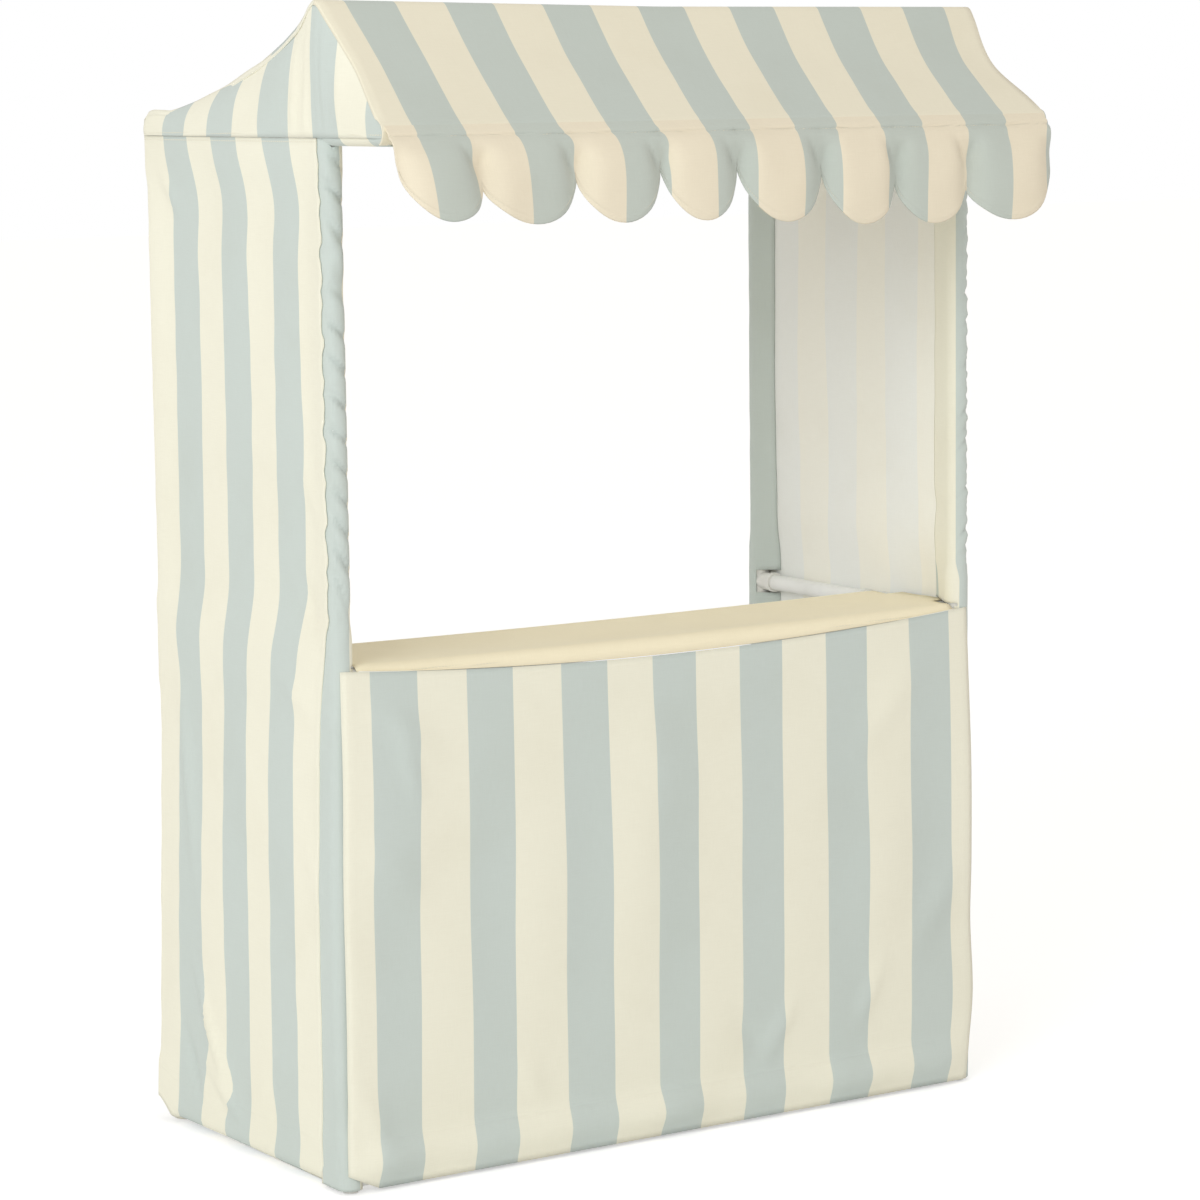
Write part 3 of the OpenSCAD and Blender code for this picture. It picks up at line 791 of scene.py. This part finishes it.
def rear_section(x):
    """(y, z) from the ridge down the slope and round the rear eave rail, for one column."""
    ridge = arc((0, RIDGE_Z), SLEEVE_R, 88, 90 - REAR_SLOPE, 4)
    back = arc((STALL_D, EAVE_Z), SLEEVE_R, 90 - REAR_SLOPE, -160, HEM_STEPS)
    s = np.linspace(0, 1, 45)[1:-1, None]
    tilt = math.radians(REAR_SLOPE)
    inward = -np.array([math.sin(tilt), math.cos(tilt)])
    slope = ridge[-1] + (back[0] - ridge[-1]) * s + inward * rear_sag(x) * np.sin(np.pi * s)
    return np.concatenate([ridge, slope, back])


def from_ridge(y):
    """1 at the ridge, falling to 0 at the awning bar and at the rear."""
    return np.where(y < 0, np.clip(1 + y / REACH, 0, 1), np.clip(1 - y / STALL_D, 0, 1))


def roof_rise(x, y):
    corner = CORNER_RISE * bump((y - STALL_D + 2) / 45) * smooth((np.abs(x) - COVER_X + 45) / 40)
    left, right = RIDGE_RISE
    tilt = left * np.clip(-x / COVER_X, 0, 1) + right * np.clip(x / COVER_X, 0, 1)
    return corner + tilt * from_ridge(y)


def roof_drift(x, y):
    places, ridge, seam = zip(*ROOF_DRIFT)
    top = np.interp(x, places, ridge)
    low = np.interp(x, places, seam)
    front = np.clip(-y / REACH, 0, 1)
    return np.where(y < 0, top + (low - top) * front, top * from_ridge(y))


def roof_grid(section, hem_rows, wrinkle, ridge_seam):
    share = np.linspace(-1, 1, cells(2 * COVER_X, ROOF_GRID) + 1)
    x0 = share * COVER_X
    paths = np.stack([section(x) for x in x0], 1)
    y = paths[..., 0]
    pull = edge_pull(y, np.sign(share))
    x = x0[None, :] - np.sign(share) * pull * np.abs(share) ** 6
    z = paths[..., 1] + wrinkle(x, y) + roof_rise(x, y) * smooth((paths[..., 1] - EAVE_Z) / 10)
    along = lengths_along(paths)
    stitch = np.minimum(along, np.abs(along[-1] - along)) if ridge_seam else along
    keep = np.ones((y.shape[0] - 1, y.shape[1] - 1), bool)
    keep[hem_rows, :] = np.abs(middle(x0)) < POST_X - SOCKET_REACH

    # Both edges turn down, and flare behind the front posts
    high = z[:, :1] - EAVE_Z - 9
    behind = smooth(y[:, :1] / 40)
    turned = EDGE_FOLD * smooth(high / 8) + EDGE_LIP * behind * smooth(high / 30)
    lip = LIP_OUT + LIP_FLARE * behind * pull[:, :1]
    x, y, z, along, stitch, keep = (doubled(rows) for rows in (x, y, z, along, stitch, keep))
    x[:, :1] -= lip
    x[:, -1:] += lip
    z[:, -1:] -= turned
    z[:, :1] -= turned
    place = np.concatenate([x0[:1] - EDGE_FOLD, x0, x0[-1:] + EDGE_FOLD])[None, :]
    striped = place + ROOF_CUT - roof_drift(place, y)
    return grid(stack(x, y, z), pair(striped, along), np.abs(stitch - HEM_IN), keep)


def awning_wrinkle(x, y):
    free = smooth((y + REACH - 14) / 25) * smooth((-y - 6) / 25)
    steep = 0.9 * ripples(x * 1.6, y * 0.4, 60, 32) * smooth(x / 300)
    return free * (0.7 * ripples(x, y * 1.5, 90, 31) + steep)


def rear_wrinkle(x, y):
    free = smooth((y - 10) / 40) * smooth((STALL_D - y - 8) / 40)
    return free * (2.0 * ripples(x, y, 170, 41) + 0.7 * ripples(x, y, 70, 42))


# Where the flat gable's stripes fall, as (flat, y), and how far it gathers over the front post
GABLE_CUT = [
    (-125, -113), (-100, -87), (-50, -38), (0, 7), (50, 49),
    (100, 103), (200, 201), (250, 249), (300, 294), (343, 341),
]
GABLE_LOW = EAVE_Z - 4.4
GATHER = 0.35
GATHER_Y = -4


def gable_top(y, side):
    front = awning_section(side * COVER_X)
    rear = rear_section(side * COVER_X)
    line = np.concatenate([front[18:], rear[: len(rear) - 10]])
    return np.interp(y, line[:, 0], line[:, 1]) + roof_rise(side * COVER_X, y) - CLOTH_T


def gable(side):
    seed = SIDES[side][1] + 3
    flat = np.arange(-124, 343, 4.0)[None, :]
    y = np.clip(straight(flat, GABLE_CUT), -REACH - SLEEVE_R + 0.3, STALL_D + SLEEVE_R - 1)
    s = np.linspace(0, 1, 19)[:, None]
    y = y - GATHER * (y - GATHER_Y) * bump((y - GATHER_Y) / 60) * s ** 1.5
    top = gable_top(y, side)
    z = GABLE_LOW + (top - GABLE_LOW) * s
    tall = smooth((top - GABLE_LOW) / 60)
    post_folds = smooth((62 - np.abs(y - 8)) / 30)
    tuck = post_folds * smooth(s / 0.15) * 1.8 * ripples(flat, z * 0.1, 15, seed)
    soft = np.sin(np.pi * s) * tall * (2.5 + 1.5 * ripples(y, z, 70, seed + 1))
    back = np.clip(y - STALL_D, 0, SLEEVE_R)
    round_end = SLEEVE_R - np.sqrt(SLEEVE_R ** 2 - back ** 2) + smooth((12 - REACH - y) / 14)
    u = SLEEVE_R + 0.4 + soft + tuck * (1 - 0.9 * s ** 2)
    u = u - edge_pull(y, side) * s ** 2.5 - round_end * (1 - s ** 2.5)
    u = u + eave_bulge(y, WALL_TOP) * (1 - s) ** 2
    stitch = np.abs(z - GABLE_LOW - HEM_STITCH) + 0 * y
    points = stack(side * (POST_X + u), y, z)
    upper = grid(points, pair(flat, z), stitch, None, side < 0)

    # The hem round the awning arm
    arm_y = np.linspace(-REACH - 6, -2, 18)
    path = resampled(arc((0, EAVE_Z), SLEEVE_R + 0.3, -22, -200, 14), 12)
    arm_cut = straight(arm_y, [(place, cut) for cut, place in GABLE_CUT])
    points = stack(side * (POST_X + path[:, :1]), arm_y[None, :], path[:, 1:])
    down = EAVE_Z - 3 * np.arange(len(path))[:, None]
    return [upper, grid(points, pair(arm_cut[None, :], down), None, None, side > 0)]


# Counter and front panel

SEAM_RISE = 8
SEAM_SAG = 15
SHELF_SAG = 6
SHELF_R = 8.8
COUNTER_GRID = 7


def seam_z(x):
    return COUNTER_Z + SEAM_RISE - SEAM_SAG * np.maximum(1 - (x / POST_X) ** 2, 0)


def counter_section(x):
    """(y, z) from the panel's seam over the front rail, along the shelf and round the rear rail."""
    edge = min((x / (POST_X - SOCKET_REACH)) ** 2, 1)
    r = SHELF_R + (SLEEVE_R - SHELF_R) * edge
    sag = SHELF_SAG * (1 - edge)
    front = arc((0, COUNTER_Z), r, 172, 90, 8)
    back = arc((SHELF_D, COUNTER_Z), r, 90, -160, 18)
    s = np.linspace(0, 1, 22)[1:-1, None]
    shelf = front[-1] + (back[0] - front[-1]) * s - [[0, 1]] * (sag * np.sin(np.pi * s))
    return np.concatenate([[[PANEL_Y, seam_z(x) + 0.4]], front, shelf, back])


def counter():
    end = POST_X - SLEEVE_R - 1
    wing = POST_X + 8
    inside = np.linspace(-end, end, cells(2 * end, COUNTER_GRID) + 1)
    x = np.concatenate([[-wing], inside, [wing]])
    paths = np.stack([counter_section(v) for v in x], 1)
    y = paths[..., 0]
    free = smooth(y / 25) * smooth((SHELF_D - y) / 25)
    gathers = smooth((x - 180) / 120) * ripples(x + y * 0.8, y * 0.1, 26, 53)
    z = paths[..., 1] + free * (0.9 * ripples(x, y, 60, 51) + 0.5 * gathers)
    along = lengths_along(paths)

    # Only the shelf itself runs on to the wings beside the posts
    first = y[:-1, 0]
    shelf = (first > 19) & (first < SHELF_D - 24) & (paths[:-1, 0, 1] > COUNTER_Z)
    keep = np.ones((y.shape[0] - 1, y.shape[1] - 1), bool)
    keep[:, 0] = shelf
    keep[:, -1] = shelf
    return grid(stack(x[None, :], y, z), pair(x[None, :], along), np.abs(along - 4), keep)


PANEL_LEFT = 352
PANEL_FOOT = 2.6
PANEL_CUT = 373
POCKET_BULGE = 8

# How far the panel's stripes are drawn aside, by x
PANEL_DRIFT = [
    (-323, 0), (-273, 4.3), (-223, -0.8), (-173, 3), (-123, -3), (-73, -4), (-23, -5),
    (27, -1), (77, -1.4), (127, 1), (177, -2.8), (227, 0.5), (277, -1.9), (327, 2),
]

# Folds as (x, z) from, (x, z) to, width, depth
PANEL_FOLDS = [
    ((-335, 455), (-240, 380), 14, 4),
    ((-345, 330), (-260, 260), 16, 3),
    ((300, 440), (200, 330), 16, 3),
    ((345, 250), (270, 120), 16, 4),
    ((-350, 110), (-300, 10), 12, 5),
    ((-60, 440), (40, 300), 24, 2.5),
    ((150, 130), (90, 40), 9, 4),
    ((60, 120), (110, 50), 10, -3),
    ((250, 150), (205, 60), 9, 4),
    ((-180, 110), (-140, 50), 10, 3),
    ((-300, 440), (-270, 330), 8, 3),
]


def panel_y(x, z):
    s = np.clip((z - POCKET_H) / (seam_z(x) - POCKET_H), 0, 1)
    soft = 2.6 * ripples(x, z / 2, 170, 61) + 1.8 * ripples(x, z / 2.5, 70, 62)
    uneven = (0.8 + 0.4 * ripples(x, 0 * x, 120, 63)) * smooth((COVER_X - np.abs(x)) / 40)
    pocket = POCKET_BULGE * bump((z - 27) / 27) * uneven
    ease = smooth((z - 6) / 40) * smooth((seam_z(x) - z) / 12)
    return PANEL_Y - np.sin(np.pi * s) * (2.5 + soft) - pocket - ease * creases(x, z, PANEL_FOLDS)


def panel():
    x0 = np.linspace(-PANEL_LEFT, PANEL_X, cells(2 * PANEL_X) + 1)[None, :]
    s = np.linspace(0, 1, 75)[:, None]
    corner = 15 * np.clip(1 - (x0 + PANEL_LEFT) / 30, 0, 1)
    z = PANEL_FOOT + corner + (seam_z(x0) - 0.4 - PANEL_FOOT - corner) * s
    bulge = 4.0 * np.sin(np.pi * np.clip(z / COUNTER_Z, 0, 1)) + 6.0 * bump((z - 90) / 90)
    x = x0 + bulge * smooth((x0 - 250) / 100) - 2 * (1 - s) * smooth((-x0 - 300) / 50)
    inset = np.minimum(x0 + PANEL_LEFT, PANEL_X - x0)
    y = panel_y(x0, z) + 1.6 * smooth((5 - inset) / 5)
    stitch = np.minimum(np.abs(z - POCKET_H), np.abs(seam_z(x0) - 4 - z))
    stitch = np.minimum(stitch, np.abs(inset - 9))
    striped = x0 + PANEL_CUT + straight(x0, PANEL_DRIFT) * (1.35 - z / COUNTER_Z)
    front = grid(stack(x, y, z), pair(striped, z), stitch)

    # The pocket under the base rail and up inside it to the stitch line
    end = POST_X - SOCKET_REACH
    x = np.linspace(-end, end, 100)[None, :]
    r = -PANEL_Y - 0.2
    start = 180 + math.degrees(math.asin((BASE_Z - PANEL_FOOT) / r))
    turn = arc((0, BASE_Z), r, start, 360, 12)
    path = resampled(np.concatenate([turn, [[PANEL_Y + 1.6, POCKET_H]]]), POCKET_STEPS)
    down = -5.0 * np.arange(len(path))[:, None]
    points = stack(x, path[:, :1], path[:, 1:])
    return [front, grid(points, pair(x + PANEL_CUT, down), None, None, True)]


# Valance: faced scallops that hang from the awning's seam

# By x: its depth at the notches, the length over which it turns to hang down, and the stripes' drift
NOTCHES = [-COVER_X, -276, -175, -85, -2, 91, 176, 259, COVER_X]
BANDS = [
    (-357, 57), (-276, 67), (-175, 58), (-85, 49), (-2, 50),
    (91, 56), (176, 67), (259, 74), (357, 62),
]
CURL = [
    (-357, 100), (-312, 80), (-223, 35), (-134, 27), (-45, 24),
    (45, 23), (134, 20), (223, 13), (312, 21), (357, 22),
]
VALANCE_DRIFT = [
    (-330, -0.8), (-280, -1), (-230, 0), (-180, 4.8), (-130, 0), (-80, 4), (-30, -1.5),
    (20, -5.4), (70, -5.8), (120, -13), (170, -6.3), (220, -14.3), (270, -9), (320, -19),
]
VALANCE_DROP = 97
RIGHT_DROP = 9
OVERHANG = 12
TOP_STITCH = OVERHANG + 5
EDGE_STITCH = 5
NOTCH_FOLD = 8.0

# The seam lies on the cloth round the bar, where the slope begins
SEAM_IN = 0.7
SEAM_UP = 1.0
ROUND = math.radians(90 + FRONT_SLOPE)
SEAM = (-REACH + (SLEEVE_R - SEAM_IN) * math.cos(ROUND) + SEAM_UP * math.sin(ROUND),
        EAVE_Z + (SLEEVE_R - SEAM_IN) * math.sin(ROUND) - SEAM_UP * math.cos(ROUND))


def valance():
    turn = -np.cos(np.pi * np.linspace(0, 1, 25))
    scallops = list(zip(NOTCHES, NOTCHES[1:]))
    x = [a + (b - a) * (1 + turn[:-1]) / 2 for a, b in scallops]
    x = np.concatenate(x + [[COVER_X]])[None, :]
    across = np.concatenate([turn[:-1]] * len(scallops) + [[1]])[None, :]
    band = straight(x, BANDS)
    most = VALANCE_DROP + RIGHT_DROP * smooth((x + 60) / 240)
    depth = band + (most - band) * np.maximum(1 - across ** 2, 0) ** 0.62
    s = np.linspace(0, 1, 49)[:, None]
    drop = depth * s

    # It leaves the seam in line with the awning's slope and turns to hang down
    lean = math.sin(ROUND) * np.exp(-np.maximum(drop - OVERHANG, 0) / knots(x, CURL))
    step = np.diff(drop, axis=0, prepend=0)
    out = np.cumsum(lean * step, 0)
    down = np.cumsum(np.sqrt(1 - lean ** 2) * step, 0)

    # Folds at the notches, the groove of the top stitching, and soft scallops between
    notch = (1 - np.abs(across)) / 2
    fold = NOTCH_FOLD * np.exp(-((notch / 0.13) ** 2)) * smooth((drop - 18) / 30)
    groove = 2.2 * np.exp(-(((drop - TOP_STITCH) / 2.4) ** 2))
    sewn = groove * (1 + 0.5 * ripples(x, 0 * x, 34, 72))
    hung = smooth((drop - OVERHANG) / 30)
    puff = 3.5 * np.sin(np.pi * s) * hung * (1 - np.exp(-((notch / 0.2) ** 2)))
    soft = 1.2 * ripples(x, drop, 60, 71) * smooth((drop - 8) / 25)
    tucks = []
    for n in NOTCHES[1:-1]:
        tucks += [((n, 63), (n - 20, 17), 5, 4), ((n, 65), (n + 13, 21), 5, 3)]
    y = SEAM[0] - out + fold + sewn - puff - soft + creases(x, drop, tucks)
    stitch = np.minimum(np.abs(depth - drop - EDGE_STITCH), np.abs(drop - TOP_STITCH))
    seam = roof_drift(x, -REACH)
    low = straight(x, VALANCE_DRIFT)
    striped = x + ROOF_CUT - seam - (low - seam) * smooth((drop - 6) / 24)
    return grid(stack(x, y, SEAM[1] - down), pair(striped, drop), stitch, None, True)


# The pieces: each stands for its CAD solid, and all but the valance ride on their body

def dress(piece, node, body):
    if body:
        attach(piece, body)
    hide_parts(node)


for side, label in ((-1, "left"), (1, "right")):
    sheets = [main_wall(side), front_sleeve(side), base_pocket(side)]
    # Each cloth's inner face takes the brightened reverse colours, painted light
    wall = cloth(f"{label}_wall_cloth", sheets, [STRIPED, STRIPED_BACK_THROUGHLIT])
    dress(wall, f"{label}_wall", "stall")
    top = cloth(f"{label}_gable_cloth", gable(side), [STRIPED, STRIPED_BACK_THROUGHLIT])
    dress(top, f"{label}_gable", "stall")

slope = roof_grid(awning_section, AWNING_HEM, awning_wrinkle, False)
# The awning's outer face takes the darker copy of the stripes, painted shade
awning = cloth("awning_cloth", [slope], [SHADED_STRIPED, STRIPED_BACK_THROUGHLIT])
dress(awning, "awning", "stall")
slope = roof_grid(rear_section, REAR_HEM, rear_wrinkle, True)
rear_roof = cloth("rear_roof_cloth", [slope], [STRIPED, STRIPED_BACK_THROUGHLIT])
dress(rear_roof, "rear_roof", "stall")

# The shelf takes the brightened cream, painted light
shelf = cloth("counter_shelf_cloth", [counter()], [PLAIN_BRIGHTENED, PLAIN_BACK_THROUGHLIT])
dress(shelf, "counter_cloth", "stall")
front = cloth("front_panel_cloth", panel(), [STRIPED, STRIPED_BACK_THROUGHLIT])
dress(front, "front_panel", "stall")
# The valance is cut from the darker copy of the stripes, painted shade
flap = cloth("valance_cloth", [valance()], [HUNG_SHADED], VALANCE_T)
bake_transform(flap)
dress(flap, "valance", None)


# Floor, light and camera

# Share of the floor's white that the camera sees without light on it, so that its shadow stays faint
FLOOR_GLOW = 0.46
FLOOR_BASE = 0.8
FLOOR_SIZE = 40
FLOOR_DROP = 0.0005


def floor_material():
    """Pale floor: white to the camera apart from the stall's shadow, and matt white to the light."""
    material, n, shader = fresh_material("pale_floor")
    grain = n.noise(n.place(), 3.0, 3.0)
    seen = n.seen()
    lit = n.blend(grain, colour(250, 250, 250), colour(246, 246, 246))
    n.put(shader["Base Color"], n.blend(seen, lit, (FLOOR_BASE, FLOOR_BASE, FLOOR_BASE, 1)))
    n.put(shader["Roughness"], 0.9)
    n.put(shader["Specular IOR Level"], 0.0)
    n.put(shader["Emission Color"], WHITE)
    n.put(shader["Emission Strength"], n.math("MULTIPLY", seen, FLOOR_GLOW))
    return material


bpy.ops.mesh.primitive_plane_add(size=FLOOR_SIZE, location=(0, 0, -FLOOR_DROP))
floor = bpy.context.object
floor.name = "floor"
floor.data.materials.append(floor_material())

# A white room: its light is a little warm, and stronger from the sides than from above
SIDE_LIGHT = 0.86
TOP_LIGHT = 0.64
ROOM_TINT = (1, 0.967, 0.925, 1)

world = bpy.data.worlds.new("studio")
bpy.context.scene.world = world
room = Nodes(world)
background = room.tree.nodes["Background"].inputs
seen = room.seen()
upward = room.split(room.place("Generated"))["Z"]
light = room.ramp(upward, 0.0, 1.0, SIDE_LIGHT, TOP_LIGHT, "LINEAR")
room.put(background["Strength"], room.ramp(seen, 0.0, 1.0, light, 1.0, "LINEAR"))
room.put(background["Color"], room.blend(seen, ROOM_TINT, WHITE))


def area_light(name, place, aim, size, power, tone):
    data = bpy.data.lights.new(name, "AREA")
    data.color = tone
    data.shape = "DISK"
    data.size = size
    data.energy = power
    lamp = bpy.data.objects.new(name, data)
    lamp.location = place
    lamp.rotation_euler = (Vector(aim) - Vector(place)).to_track_quat("-Z", "Y").to_euler()
    bpy.context.collection.objects.link(lamp)


area_light("key", place=(-3.6, -2.4, 2.2), aim=(0, 0, 0.55), size=2.4, power=64,
           tone=(0.9, 0.97, 1.0))

# The camera that took the photograph, fitted to the frame's corners
FOCAL_PX = 3929.0
IMAGE_PX = 1200
SENSOR = 36.0
CAMERA_PLACE = Vector((-2026.9, -3013.5, 995.4))
YAW = -0.57586
PITCH = 0.13268
ROLL = -0.0117

camera_data = bpy.data.cameras.new("camera")
camera_data.sensor_width = SENSOR
camera_data.lens = FOCAL_PX / IMAGE_PX * SENSOR
camera_data.clip_end = 50
camera = bpy.data.objects.new("camera", camera_data)
bpy.context.collection.objects.link(camera)
level = math.cos(PITCH)
back = Vector((math.sin(YAW) * level, -math.cos(YAW) * level, math.sin(PITCH)))
right = (-back).cross(Vector((0, 0, 1))).normalized()
up = right.cross(-back)
tilted_right = math.cos(ROLL) * right + math.sin(ROLL) * up
tilted_up = -math.sin(ROLL) * right + math.cos(ROLL) * up
axes = Matrix((tilted_right, tilted_up, back)).transposed().to_4x4()
camera.matrix_world = Matrix.Translation((CAMERA_PLACE + Vector((0, FRONT_Y, 0))) * MM) @ axes
bpy.context.scene.camera = camera
bpy.context.scene.view_settings.view_transform = "Standard"

bpy.context.view_layer.update()
